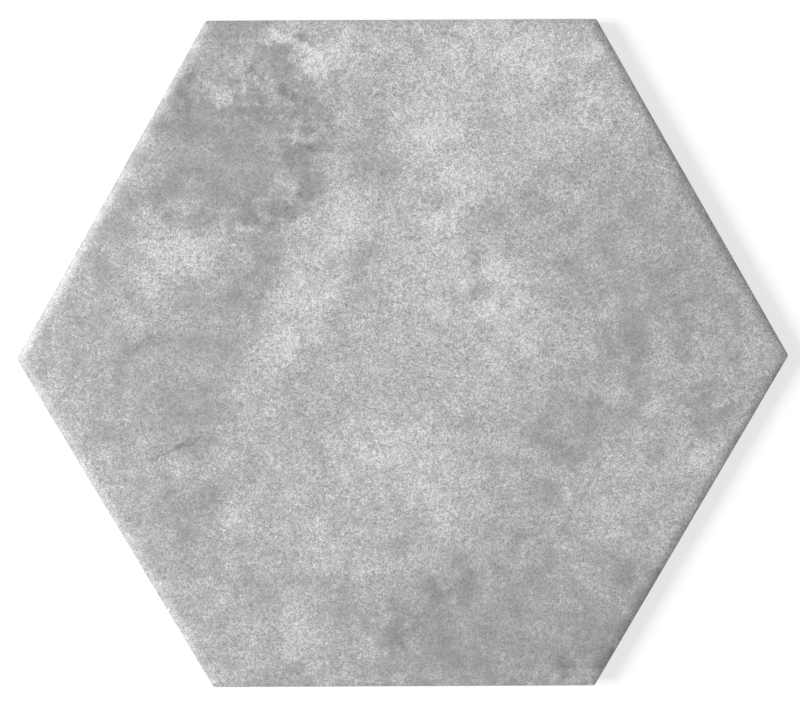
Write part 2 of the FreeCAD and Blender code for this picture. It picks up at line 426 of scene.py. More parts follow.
def tile_tree():
    """The whole tile: its face, its edge, the pockets of its back and the ribs between them, as one closed mesh."""
    sizes = [
        ("Across", "Float"), ("Thickness", "Float"), ("Corner Radius", "Float"), ("Arris Width", "Float"),
        ("Arris Drop", "Float"), ("Arris Fullness", "Float"), ("Arris Rim", "Float"),
        ("Land Height", "Float"), ("Wall Draft", "Float"), ("Foot Bevel", "Float"),
        ("Rim Width", "Float"), ("Pocket Pitch", "Float"), ("Rib Width", "Float"), ("Pocket Depth", "Float"),
        ("Pocket Draft", "Float"), ("Edge Softness", "Float"), ("Face Relief", "Float"), ("Side Relief", "Float"),
        ("Tear Strength", "Float"), ("Broad Wander", "Float"), ("Fine Wander", "Float"), ("Drift", "Float"),
        ("Mottle", "Float"), ("Side Divisions", "Int"), ("Corner Divisions", "Int"), ("Arris Divisions", "Int"), ("Seed", "Int"),
        ("Material", "Material")]
    tree, given, result = new_group("pressed tile", "GeometryNodeTree", sizes, [("Mesh", "Geometry")])
    lattice = lattice_tree()
    half = maths(tree, "MULTIPLY", given["Across"], 0.5)
    face_reach = maths(tree, "DIVIDE", maths(tree, "SUBTRACT", half, given["Arris Width"]), COS30)
    face = put(tree, "GeometryNodeTransform", {
        "Geometry": use(tree, lattice, {"Corner Distance": face_reach, "Divisions": given["Side Divisions"]}).outputs[0],
        "Translation": joined_xyz(tree, 0.0, 0.0, given["Thickness"])})

    same = ("Thickness", "Arris Width", "Arris Drop", "Arris Divisions", "Arris Fullness", "Arris Rim",
            "Land Height", "Wall Draft", "Foot Bevel", "Edge Softness")
    section = use(tree, edge_section_tree(), {name: given[name] for name in same})
    band = use(tree, band_tree(), {
        "Section": section.outputs[0], "Half Across": half, "Corner Radius": given["Corner Radius"],
        "Side Divisions": given["Side Divisions"], "Corner Divisions": given["Corner Divisions"]})

    wall_height = maths(tree, "SUBTRACT", maths(tree, "SUBTRACT", given["Thickness"], given["Arris Drop"]),
                        maths(tree, "ADD", given["Land Height"], given["Foot Bevel"]))
    wall_inset = maths(tree, "MULTIPLY", wall_height, maths(tree, "TANGENT", given["Wall Draft"]))
    field = maths(tree, "SUBTRACT", maths(tree, "SUBTRACT", half, wall_inset),
                  maths(tree, "ADD", given["Foot Bevel"], given["Rim Width"]))
    key = use(tree, key_tree(lattice, pocket_tree()), {
        "Field Half Across": field, "Pocket Pitch": given["Pocket Pitch"], "Rib Width": given["Rib Width"],
        "Pocket Depth": given["Pocket Depth"], "Pocket Draft": given["Pocket Draft"],
        "Edge Softness": given["Edge Softness"]})

    shell = put(tree, "GeometryNodeJoinGeometry")
    tree.links.new(key.outputs[0], shell.inputs[0])
    tree.links.new(band.outputs[0], shell.inputs[0])
    shell = put(tree, "GeometryNodeMergeByDistance", {"Geometry": shell.outputs[0], "Distance": WELD})
    position = tree.nodes.new("GeometryNodeInputPosition").outputs[0]
    on_back = maths(tree, "LESS_THAN", split_xyz(tree, position)[2], 0.01 * MM)
    free = maths(tree, "LESS_THAN", tree.nodes.new("GeometryNodeInputMeshEdgeNeighbors").outputs[0], 1.5)
    outlines = put(tree, "GeometryNodeMeshToCurve", {
        "Mesh": shell.outputs[0], "Selection": maths(tree, "MULTIPLY", on_back, free)})
    ribs = put(tree, "GeometryNodeFillCurve", {"Curve": outlines.outputs[0]}, mode="TRIANGLES")
    ribs = put(tree, "GeometryNodeFlipFaces", {"Mesh": ribs.outputs[0]})

    closed = put(tree, "GeometryNodeJoinGeometry")
    for part in (face, shell, ribs):
        tree.links.new(part.outputs[0], closed.inputs[0])
    closed = put(tree, "GeometryNodeMergeByDistance", {"Geometry": closed.outputs[0], "Distance": WELD})

    def noise(scale, detail):
        """Even noise about zero at a scale in waves per metre, fixed by the seed."""
        node = put(tree, "ShaderNodeTexNoise", noise_dimensions="4D")
        feed(tree, node.inputs["Vector"], position)
        feed(tree, node.inputs["W"], given["Seed"])
        feed(tree, node.inputs["Scale"], scale)
        feed(tree, node.inputs["Detail"], detail)
        return maths(tree, "SUBTRACT", node.outputs[0], 0.5)

    printed = use(tree, print_tree(), {
        "Mesh": closed.outputs[0], "Tear Strength": given["Tear Strength"], "Broad Wander": given["Broad Wander"],
        "Fine Wander": given["Fine Wander"], "Drift": given["Drift"], "Mottle": given["Mottle"]})
    x, y, z = split_xyz(tree, position)
    land_top = maths(tree, "SUBTRACT", given["Thickness"], given["Arris Drop"])
    high = smooth_step(tree, z, land_top, given["Thickness"])
    waves = maths(tree, "ADD", noise(22.0, 2.0), maths(tree, "MULTIPLY", noise(95.0, 1.0), 0.35))
    sink = maths(tree, "MULTIPLY", maths(tree, "MULTIPLY", maths(tree, "SUBTRACT", waves, 0.35), given["Face Relief"]), high)
    upright = smooth_step(tree, z, 0.3 * MM, 3.0 * MM)
    off_face = maths(tree, "SUBTRACT", 1.0, smooth_step(
        tree, z, maths(tree, "SUBTRACT", given["Thickness"], 0.25 * MM), given["Thickness"]))
    wander = maths(tree, "ADD", noise(30.0, 2.0), maths(tree, "MULTIPLY", noise(260.0, 2.0), 0.5))
    push = maths(tree, "MULTIPLY", maths(tree, "MULTIPLY", maths(tree, "SUBTRACT", wander, 0.35), given["Side Relief"]),
                 maths(tree, "MULTIPLY", upright, off_face))
    outward = vectors(tree, "NORMALIZE", joined_xyz(tree, x, y, 0.0))
    offset = vectors(tree, "ADD", vectors(tree, "SCALE", outward, scale=push), joined_xyz(tree, 0.0, 0.0, sink))
    shaped = put(tree, "GeometryNodeSetPosition", {"Geometry": printed.outputs[0], "Offset": offset})

    facing_down = maths(tree, "LESS_THAN", split_xyz(
        tree, tree.nodes.new("GeometryNodeInputNormal").outputs[0])[2], -0.9999)
    shaded = put(tree, "GeometryNodeSetShadeSmooth", {"Geometry": shaped.outputs[0], "Shade Smooth": True})
    shaded = put(tree, "GeometryNodeSetShadeSmooth", {
        "Geometry": shaded.outputs[0], "Selection": facing_down, "Shade Smooth": False})
    real = put(tree, "GeometryNodeRealizeInstances", {0: shaded.outputs[0]})
    coated = put(tree, "GeometryNodeSetMaterial", {"Geometry": real.outputs[0], "Material": given["Material"]})
    tree.links.new(coated.outputs[0], result[0])
    return tree


# The print

def torn_cloud_group():
    """Adds a cloud with a torn border to the shade of the print, and its border to the sum of borders.
    Along and Across measure the place along the cloud's own axes, in half sizes."""
    tree, given, result = new_group(
        "torn cloud", "GeometryNodeTree",
        [("Place", "Vector"), ("Tear", "Float"), ("Along", "Vector"), ("Across", "Vector"), ("Middle", "Vector"),
         ("Softness", "Float"), ("Amount", "Float"), ("Shade", "Float"), ("Border", "Float")],
        [("Shade", "Float"), ("Border", "Float")])
    along = vectors(tree, "DOT_PRODUCT", given["Place"], given["Along"], out="Value")
    across = vectors(tree, "DOT_PRODUCT", given["Place"], given["Across"], out="Value")
    local = joined_xyz(tree, along, across, 0.0)
    far = maths(tree, "ADD", vectors(tree, "DISTANCE", local, given["Middle"], out="Value"), given["Tear"])
    share = smooth_step(tree, far, maths(tree, "ADD", 1.0, given["Softness"]),
                        maths(tree, "SUBTRACT", 1.0, given["Softness"]))
    tree.links.new(maths(tree, "MULTIPLY_ADD", share, given["Amount"], given["Shade"]), result["Shade"])
    half_way = maths(tree, "MULTIPLY", share, maths(tree, "SUBTRACT", 1.0, share))
    strength = maths(tree, "MULTIPLY", maths(tree, "ABSOLUTE", given["Amount"]), 4.0)
    tree.links.new(maths(tree, "MULTIPLY_ADD", half_way, strength, given["Border"]), result["Border"])
    return tree


# The clouds of the print, seen from above: the middle and the half sizes in millimetres, the turn
# in degrees, the softness of the border and how much paler (+) or darker (-) it is there
SLATE_CLOUDS = (
    ((-66, 76), (35, 26), 4, 0.25, -0.070),
    ((-46, 109), (9, 8), -10, 0.25, -0.090),
    ((-36, 93), (12, 7), -52, 0.20, -0.060),
    ((-55, 94), (9, 8), 0, 0.60, -0.030),
    ((-46, 52), (11, 4), 12, 0.25, -0.035),
    ((-38, 69), (7, 13), 12, 0.20, -0.045),
    ((-41, 57), (10, 5), 0, 0.40, -0.040),
    ((-30, 78), (6, 3), 0, 0.30, -0.050),
    ((-85, 90), (8, 7), 20, 0.50, -0.030),
    ((-72, 108), (12, 9), 20, 0.60, -0.025),
    ((-76, 102), (7, 8), 0, 0.60, -0.035),
    ((-38, 105), (4, 5), 0, 0.30, -0.025),
    ((-36, 118), (3, 3), 0, 0.40, -0.120),
    ((-62, 122), (13, 4), 0, 0.50, -0.030),
    ((-13, 112), (4, 4), 0, 0.50, -0.050),
    ((-62, 119), (11, 6), 0, 0.60, -0.045),
    ((-48, 124), (4, 2.5), 0, 0.50, -0.060),
    ((-75, 105), (4, 4), 0, 0.50, -0.035),
    ((-46, 96), (3, 2.5), 0, 0.50, -0.035),
    ((-22, 87), (2.5, 3), 0, 0.50, -0.045),
    ((-50, 60), (10, 4), 0, 0.40, -0.020),
    ((-62, 51), (14, 4), 0, 0.50, -0.020),
    ((-50, 40), (7, 12), -10, 0.50, -0.050),
    ((-62, 26), (12, 12), -20, 0.60, -0.045),
    ((-62, 42), (8, 6), 0, 0.60, -0.020),
    ((-24, 97), (2.5, 8), -15, 0.50, -0.060),
    ((-12, 76), (8, 14), -10, 0.45, -0.045),
    ((-4, 72), (4, 4), 0, 0.50, -0.050),
    ((9, 69), (5, 4), 0, 0.50, -0.040),
    ((-6, 90), (5, 9), 0, 0.50, -0.040),
    ((10, 106), (8, 6), 0, 0.60, -0.020),
    ((26, 112), (4, 5), 0, 0.60, -0.040),
    ((3, 99), (6, 7), 0, 0.60, -0.020),
    ((65, 38), (8, 10), 0, 0.70, -0.015),
    ((46, 63), (6, 3), 20, 0.60, -0.025),
    ((80, 75), (12, 4), 0, 0.60, -0.015),
    ((60, 107), (6, 4), 0, 0.60, -0.025),
    ((28, 77), (5, 3), 0, 0.60, -0.025),
    ((-15, 40), (4, 14), -20, 0.60, -0.030),
    ((-12, 98), (8, 6), 0, 0.60, -0.020),
    ((-84, 4), (34, 28), 0, 0.60, -0.042),
    ((-108, 40), (12, 16), 30, 0.70, -0.025),
    ((-80, -25), (18, 14), 0, 0.60, -0.030),
    ((-94, 6), (10, 2.5), 28, 0.50, -0.025),
    ((-114, -29), (5, 4), 0, 0.60, -0.035),
    ((-95, -44), (12, 8), 0, 0.70, -0.020),
    ((-80, -31), (3, 1.6), 25, 0.50, -0.045),
    ((-73, -29.5), (3, 1.6), 25, 0.50, -0.040),
    ((-78, -61), (8, 8), 0, 0.60, -0.025),
    ((-80, -53), (14, 6), 6, 0.50, -0.045),
    ((-70, -57), (6, 4), 0, 0.50, -0.030),
    ((-77, -32), (9, 3), 22, 0.60, -0.030),
    ((-76, -73), (9, 9), 0, 0.60, -0.030),
    ((-52, -87), (16, 5), 0, 0.50, -0.045),
    ((-80, -85), (6, 4), 0, 0.60, -0.020),
    ((-62, -47), (5, 4), 0, 0.60, -0.030),
    ((-50, -70), (8, 5), 0, 0.60, -0.020),
    ((-85, -66), (8, 6), 0, 0.60, -0.020),
    ((-74, -97), (5, 8), 0, 0.60, -0.020),
    ((-42, -117), (5, 2), -20, 0.50, -0.080),
    ((-110, -15), (10, 14), 0, 0.70, -0.015),
    ((-35, -22), (6, 6), 0, 0.60, -0.020),
    ((-32, -8), (10, 8), 0, 0.70, -0.015),
    ((0, -70), (4, 6), 0, 0.60, -0.050),
    ((-22, -98), (9, 14), 0, 0.60, -0.030),
    ((92, 28), (34, 30), 0, 0.60, -0.030),
    ((84, 56), (22, 14), 0, 0.70, -0.020),
    ((50, 70), (10, 5), 0, 0.60, -0.020),
    ((38, 55), (14, 6), 8, 0.45, -0.045),
    ((50, 56), (4, 4), 0, 0.50, -0.030),
    ((28, 37), (3, 5), 0, 0.50, -0.060),
    ((26, 24), (2.5, 3), 0, 0.50, -0.060),
    ((58, 68), (10, 5), 0, 0.60, -0.020),
    ((85, 6), (9, 8), 0, 0.50, -0.045),
    ((86, -6), (5, 6), 0, 0.60, -0.030),
    ((100, 25), (14, 10), 0, 0.60, -0.015),
    ((60, -24), (16, 13), 0, 0.50, -0.040),
    ((66, -37), (7, 5), 20, 0.60, -0.045),
    ((90, -15), (4, 4), 0, 0.60, -0.035),
    ((94, -35), (5, 4), 0, 0.60, -0.020),
    ((64, -67), (6, 4), 0, 0.60, -0.030),
    ((92, -60), (6, 4), 0, 0.60, -0.025),
    ((65, 31), (7, 5), 0, 0.60, -0.020),
    ((56, -36), (9, 8), 0, 0.50, -0.030),
    ((75, -26), (7, 9), 0, 0.60, -0.030),
    ((115, -22), (8, 7), 0, 0.40, -0.055),
    ((56, -52), (3, 5), 0, 0.50, -0.040),
    ((65, -54), (2, 3), 0, 0.50, -0.040),
    ((45, -62), (14, 8), 20, 0.60, -0.025),
    ((44, -100), (56, 24), 14, 0.30, -0.060),
    ((18, -82), (9, 12), 20, 0.35, -0.035),
    ((66, -117), (8, 6), 0, 0.60, -0.050),
    ((5, -94), (7, 8), 0, 0.50, -0.035),
    ((30, -72), (6, 8), 0, 0.60, -0.020),
    ((75, -108), (16, 12), 0, 0.50, -0.020),
    ((83, -83), (5, 7), 0, 0.40, -0.025),
    ((25, -34), (3, 9), -20, 0.60, -0.035),
    ((120, -4), (14, 14), 0, 0.60, -0.020),
    ((0, -105), (3, 4), 0, 0.40, -0.050),
    ((-8, -104), (6, 5), 0, 0.50, -0.040),
    ((18, -110), (14, 10), 0, 0.50, -0.020),
)
CHALK_CLOUDS = (
    ((-34, 111), (8, 5), -50, 0.35, 0.110),
    ((-44, 118.5), (6, 3), 0, 0.40, 0.080),
    ((-22, 112), (9, 4), 0, 0.50, 0.050),
    ((-16, 116), (10, 4), 0, 0.50, 0.040),
    ((-48, 115.5), (4, 3), 0, 0.50, 0.070),
    ((-37, 121), (3, 2), 0, 0.50, 0.050),
    ((-66, 97), (5.5, 2.4), -20, 0.40, 0.110),
    ((-51, 106), (3, 3), 0, 0.50, 0.045),
    ((-63, 101.5), (4, 2), 0, 0.50, 0.040),
    ((-44, 78.5), (4, 2), 0, 0.50, 0.040),
    ((-28, 66), (2.5, 3.5), 0, 0.50, 0.050),
    ((-65, 105), (8, 6), 0, 0.60, 0.030),
    ((-73, 101), (3, 2), 0, 0.50, 0.040),
    ((-38, 82.3), (9, 1.6), 6, 0.40, 0.080),
    ((-26, 90), (4, 5), 0, 0.50, 0.040),
    ((-44, 62), (5, 4), 30, 0.50, 0.075),
    ((-81, 51), (10, 3), 0, 0.60, 0.025),
    ((-80, 40), (17, 8), 0, 0.50, 0.048),
    ((-86, 31), (9, 4), 0, 0.50, 0.025),
    ((-71, 26), (5, 3), 0, 0.50, 0.050),
    ((-94, 33), (7, 9), 0, 0.50, 0.050),
    ((-96, 20), (6, 9), 0, 0.60, 0.035),
    ((-103, 12), (8, 6), 0, 0.60, 0.020),
    ((-18, 52), (8, 11), 0, 0.50, 0.060),
    ((-93, 76), (5, 9), -30, 0.60, 0.055),
    ((-70, 16), (18, 5), 0, 0.60, 0.015),
    ((-30, 48), (9, 9), 0, 0.60, 0.040),
    ((-37, 20), (10, 18), -25, 0.60, 0.060),
    ((-47, 3), (7, 10), -25, 0.60, 0.050),
    ((-58, -14), (7, 12), -15, 0.70, 0.025),
    ((-64, -32), (4, 10), 0, 0.70, 0.020),
    ((-66, -60), (5, 10), -22, 0.60, 0.045),
    ((-83, -42), (4, 2.5), 0, 0.50, 0.060),
    ((-24, -70), (4, 6), -10, 0.50, 0.050),
    ((-17, -81), (5, 3), 0, 0.50, 0.050),
    ((-38, -70), (8, 8), 0, 0.70, 0.020),
    ((-41, -104), (8, 12), 0, 0.60, 0.035),
    ((-15, -36), (10, 10), 0, 0.60, 0.035),
    ((6, -40), (18, 14), 0, 0.60, 0.035),
    ((-8, -25), (14, 8), 0, 0.70, 0.020),
    ((15, -55), (12, 8), 0, 0.70, 0.025),
    ((28, -43), (5, 4), 0, 0.50, 0.040),
    ((14, -68), (6, 6), 0, 0.60, 0.030),
    ((-35, -55), (20, 12), 0, 0.70, 0.012),
    ((28, 86), (40, 32), 0, 0.50, 0.032),
    ((14, 84), (9, 6), -10, 0.50, 0.050),
    ((14, 79), (5, 3), 0, 0.50, 0.030),
    ((9, 88), (9, 14), 0, 0.60, 0.030),
    ((21, 64), (10, 10), 45, 0.60, 0.055),
    ((40, 111), (34, 11), 0, 0.60, 0.040),
    ((32, 122), (9, 3), 0, 0.50, 0.060),
    ((4, 122), (7, 3), 0, 0.50, 0.050),
    ((64, 98), (8, 5), 0, 0.60, 0.025),
    ((58, 112), (14, 7), 0, 0.60, 0.030),
    ((70, 96), (5, 5), 0, 0.50, 0.050),
    ((78, 86), (12, 12), 0, 0.70, 0.030),
    ((16, 52), (5, 4), 0, 0.50, 0.040),
    ((11, 36), (12, 18), 0, 0.60, 0.055),
    ((35, 33), (7, 5), 15, 0.45, 0.085),
    ((46, 30), (8, 4), 0, 0.50, 0.045),
    ((31, 19), (4, 3), 0, 0.40, 0.075),
    ((24, 25), (3, 3), 0, 0.50, 0.050),
    ((41, 13), (12, 12), 0, 0.60, 0.050),
    ((32, -4), (16, 10), 0, 0.70, 0.020),
    ((10, 10), (16, 12), 0, 0.70, 0.015),
    ((60, 12), (10, 12), 0, 0.70, 0.015),
    ((80, -54), (14, 9), 20, 0.60, 0.025),
    ((60.5, -52), (2.5, 2.5), 0, 0.50, 0.080),
    ((15, -16), (9, 6), 0, 0.60, 0.025),
    ((93, -21), (3, 5), 0, 0.50, 0.040),
    ((119, -18), (2, 3), 0, 0.50, 0.090),
    ((113, -40), (6, 6), 0, 0.50, 0.050),
    ((66, -80), (9, 7), 0, 0.60, 0.035),
    ((70, -90), (7, 10), 0, 0.60, 0.025),
    ((8, -38), (10, 8), 0, 0.60, 0.020),
    ((55, -96), (12, 7), 30, 0.70, 0.015),
)
WARM_CLOUDS = (
    ((110, 20), (12, 14), 0, 0.80, 0.6),
    ((112, -25), (12, 12), 0, 0.80, 0.6),
    ((125, -10), (10, 10), 0, 0.80, 0.6),
    ((84, -47), (20, 10), 30, 0.80, 0.4),
    ((40, 108), (26, 12), 0, 0.80, 0.5),
)
ROSY_CLOUDS = (
    ((60, 82), (26, 24), 0, 0.80, 0.6),
    ((108, -42), (9, 8), 0, 0.80, 0.6),
    ((48, -4), (20, 14), 0, 0.80, 0.3),
)
BLUE_CLOUDS = (
    ((-72, -30), (12, 8), 0, 0.80, 0.5),
    ((-80, -55), (17, 8), 0, 0.80, 0.9),
    ((-85, 60), (12, 6), 0, 0.80, 0.5),
    ((-86, 86), (9, 7), 0, 0.80, 0.4),
)


FLECK_CLOUDS = (
    ((-58, 102), (26, 14), -10, 0.60, 0.8),
    ((-42, 78), (12, 16), 0, 0.60, 0.5),
    ((-88, 38), (18, 12), 0, 0.60, 0.5),
)
# Thin cracks of the print: both ends and the half width in millimetres, and how much paler or darker
HAIRLINES = (
    ((-98, -38.8), (-76, -30.2), 0.65, -0.11),
    ((-102, 3), (-85, 12), 0.45, -0.06),
    ((66, -86), (80, -91), 0.35, 0.10),
)


def sum_of_clouds(tree, group, place, tear, clouds):
    """The shade and the borders of the clouds of one list at a place given in millimetres."""
    shade, border = 0.0, 0.0
    for middle, half_size, turn, softness, amount in clouds:
        axis = Vector((math.cos(math.radians(turn)), math.sin(math.radians(turn)), 0.0))
        along = axis / half_size[0]
        across = Vector((-axis.y, axis.x, 0.0)) / half_size[1]
        centre = Vector((middle[0], middle[1], 0.0))
        node = use(tree, group, {
            "Place": place, "Tear": tear, "Along": along, "Across": across,
            "Middle": (centre.dot(along), centre.dot(across), 0.0), "Softness": softness, "Amount": amount,
            "Shade": shade, "Border": border})
        shade, border = node.outputs["Shade"], node.outputs["Border"]
    return shade, border


def noise_at(tree, place, scale, detail=2.0, roughness=0.5, out="Fac", flat=False):
    """Noise about zero at a place in millimetres, with a scale in waves per millimetre. Flat noise is
    the same at every height."""
    node = put(tree, "ShaderNodeTexNoise", noise_dimensions="2D" if flat else "3D")
    for name, value in (("Vector", place), ("Scale", scale), ("Detail", detail), ("Roughness", roughness)):
        feed(tree, node.inputs[name], value)
    if out == "Color":
        return vectors(tree, "SUBTRACT", node.outputs["Color"], (0.5, 0.5, 0.5))
    return maths(tree, "SUBTRACT", node.outputs["Fac"], 0.5)


def print_tree():
    """Works out the clouds of the print at every point of the tile and keeps them as attributes of the mesh:
    print_shade, how much paler or darker it is, print_border, how near the border of a cloud, print_tint,
    how warm, rosy and blue it is, and print_flecks, how many pale flecks there are."""
    tree, given, result = new_group(
        "cloudy print", "GeometryNodeTree",
        [("Mesh", "Geometry"), ("Tear Strength", "Float"), ("Broad Wander", "Float"), ("Fine Wander", "Float"),
         ("Drift", "Float"), ("Mottle", "Float")],
        [("Mesh", "Geometry")])
    place = vectors(tree, "SCALE", tree.nodes.new("GeometryNodeInputPosition").outputs[0], scale=1.0 / MM)
    place = vectors(tree, "MULTIPLY", place, (1.0, 1.0, 0.0))
    broad = vectors(
        tree, "SCALE", noise_at(tree, place, 0.045, 2.0, 0.5, "Color", True),
        scale=maths(tree, "DIVIDE", given["Broad Wander"], MM))
    fine = vectors(
        tree, "SCALE", noise_at(tree, place, 0.16, 1.0, 0.6, "Color", True),
        scale=maths(tree, "DIVIDE", given["Fine Wander"], MM))
    wandered = vectors(tree, "ADD", vectors(tree, "ADD", place, broad), fine)
    wandered = vectors(tree, "MULTIPLY", wandered, (1.0, 1.0, 0.0))
    tear = maths(tree, "MULTIPLY", noise_at(tree, place, 0.13, 1.0, 0.8, flat=True), given["Tear Strength"])
    cloud = torn_cloud_group()
    shade, border = sum_of_clouds(tree, cloud, wandered, tear, SLATE_CLOUDS + CHALK_CLOUDS)
    tints = [sum_of_clouds(tree, cloud, wandered, tear, clouds)[0] for clouds in (WARM_CLOUDS, ROSY_CLOUDS, BLUE_CLOUDS)]
    flecks = sum_of_clouds(tree, cloud, wandered, tear, FLECK_CLOUDS)[0]
    shade = maths(tree, "MULTIPLY_ADD", noise_at(tree, place, 0.028, 3.0, 0.55, flat=True), given["Drift"], shade)
    shade = maths(tree, "MULTIPLY_ADD", noise_at(tree, place, 0.11, 1.0, 0.62, flat=True), given["Mottle"], shade)
    mesh = given["Mesh"]
    for name, kind, value in (
            ("print_shade", "FLOAT", shade), ("print_border", "FLOAT", border),
            ("print_tint", "FLOAT_VECTOR", joined_xyz(tree, *tints)), ("print_flecks", "FLOAT", flecks)):
        stored = put(tree, "GeometryNodeStoreNamedAttribute", data_type=kind, domain="POINT")
        feed(tree, stored.inputs["Geometry"], mesh)
        feed(tree, stored.inputs["Name"], name)
        feed(tree, stored.inputs["Value"], value)
        mesh = stored.outputs[0]
    tree.links.new(mesh, result[0])
    return tree


# The glaze and the fired body

def mixed_colour(tree, factor, first, second, blend="MIX"):
    """Two colours mixed by a factor."""
    node = put(tree, "ShaderNodeMix", {0: factor, 6: first, 7: second}, data_type="RGBA", blend_type=blend)
    return node.outputs[2]


def kept(tree, name, out="Fac"):
    """A value that the mesh keeps as an attribute."""
    return put(tree, "ShaderNodeAttribute", attribute_name=name, attribute_type="GEOMETRY").outputs[out]


def hairline_group():
    """Adds a thin wandering line to a shade. Along measures the place in half lengths and Across in millimetres."""
    tree, given, result = new_group(
        "hairline", "ShaderNodeTree",
        [("Place", "Vector"), ("Wander", "Float"), ("Along", "Vector"), ("Across", "Vector"), ("Middle", "Vector"),
         ("Width", "Float"), ("Amount", "Float"), ("Shade", "Float")], [("Shade", "Float")])
    from_middle = vectors(tree, "SUBTRACT", given["Place"], given["Middle"])
    along = maths(tree, "ABSOLUTE", vectors(tree, "DOT_PRODUCT", from_middle, given["Along"], out="Value"))
    across = vectors(tree, "DOT_PRODUCT", from_middle, given["Across"], out="Value")
    off_line = maths(tree, "ABSOLUTE", maths(tree, "ADD", across, given["Wander"]))
    near = smooth_step(tree, off_line, given["Width"], maths(tree, "MULTIPLY", given["Width"], 0.3))
    ends = smooth_step(tree, along, 1.0, 0.6)
    mark = maths(tree, "MULTIPLY", near, ends)
    tree.links.new(maths(tree, "MULTIPLY_ADD", mark, given["Amount"], given["Shade"]), result[0])
    return tree


